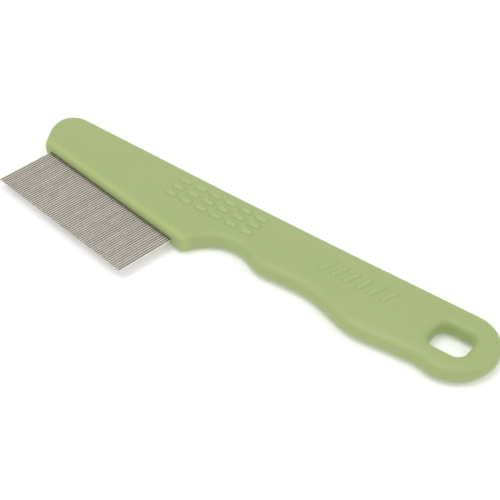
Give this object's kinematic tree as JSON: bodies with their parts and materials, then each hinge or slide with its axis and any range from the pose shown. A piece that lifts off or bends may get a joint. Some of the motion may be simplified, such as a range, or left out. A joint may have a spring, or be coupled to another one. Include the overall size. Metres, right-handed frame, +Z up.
{
  "type": "flea comb",
  "caption": "Flea comb: a row of fine straight steel wire teeth set in the front edge of a long flat moulded handle with finger swells, raised grip pads and a rounded hang hole.",
  "frame": {"origin": "centre of the comb's bounding box, on its flat underside", "axes": "+X along the tooth row towards the hang hole, -Y the way the teeth point, +Z up out of the padded face"},
  "size_m": [0.152, 0.0548, 0.0058],
  "materials": {
    "handle_plastic": "satin moulded plastic, soft pale green",
    "tooth_steel": "drawn stainless wire, ground rounded tips",
    "channel_steel": "folded stainless strip, mill finish",
    "resin": "dull olive-grey cast epoxy"
  },
  "bodies": {
    "root": {"handle": "handle_plastic", "tooth_channel": "channel_steel", "root_resin": "resin", "end_tooth": "tooth_steel", "tooth_pair_01": "tooth_steel", "tooth_pair_02": "tooth_steel", "tooth_pair_03": "tooth_steel", "tooth_pair_04": "tooth_steel", "tooth_pair_05": "tooth_steel", "tooth_pair_06": "tooth_steel", "tooth_pair_07": "tooth_steel", "tooth_pair_08": "tooth_steel", "tooth_pair_09": "tooth_steel", "tooth_pair_10": "tooth_steel", "tooth_pair_11": "tooth_steel", "tooth_pair_12": "tooth_steel", "tooth_pair_13": "tooth_steel", "tooth_pair_14": "tooth_steel", "tooth_pair_15": "tooth_steel", "tooth_pair_16": "tooth_steel", "tooth_pair_17": "tooth_steel", "tooth_pair_18": "tooth_steel", "tooth_pair_19": "tooth_steel", "tooth_pair_20": "tooth_steel", "tooth_pair_21": "tooth_steel", "tooth_pair_22": "tooth_steel", "tooth_pair_23": "tooth_steel", "tooth_pair_24": "tooth_steel", "tooth_pair_25": "tooth_steel", "tooth_pair_26": "tooth_steel", "tooth_pair_27": "tooth_steel", "tooth_pair_28": "tooth_steel", "tooth_pair_29": "tooth_steel", "tooth_pair_30": "tooth_steel", "tooth_pair_31": "tooth_steel", "tooth_pair_32": "tooth_steel", "tooth_pair_33": "tooth_steel"}
  },
  "joints": []
}
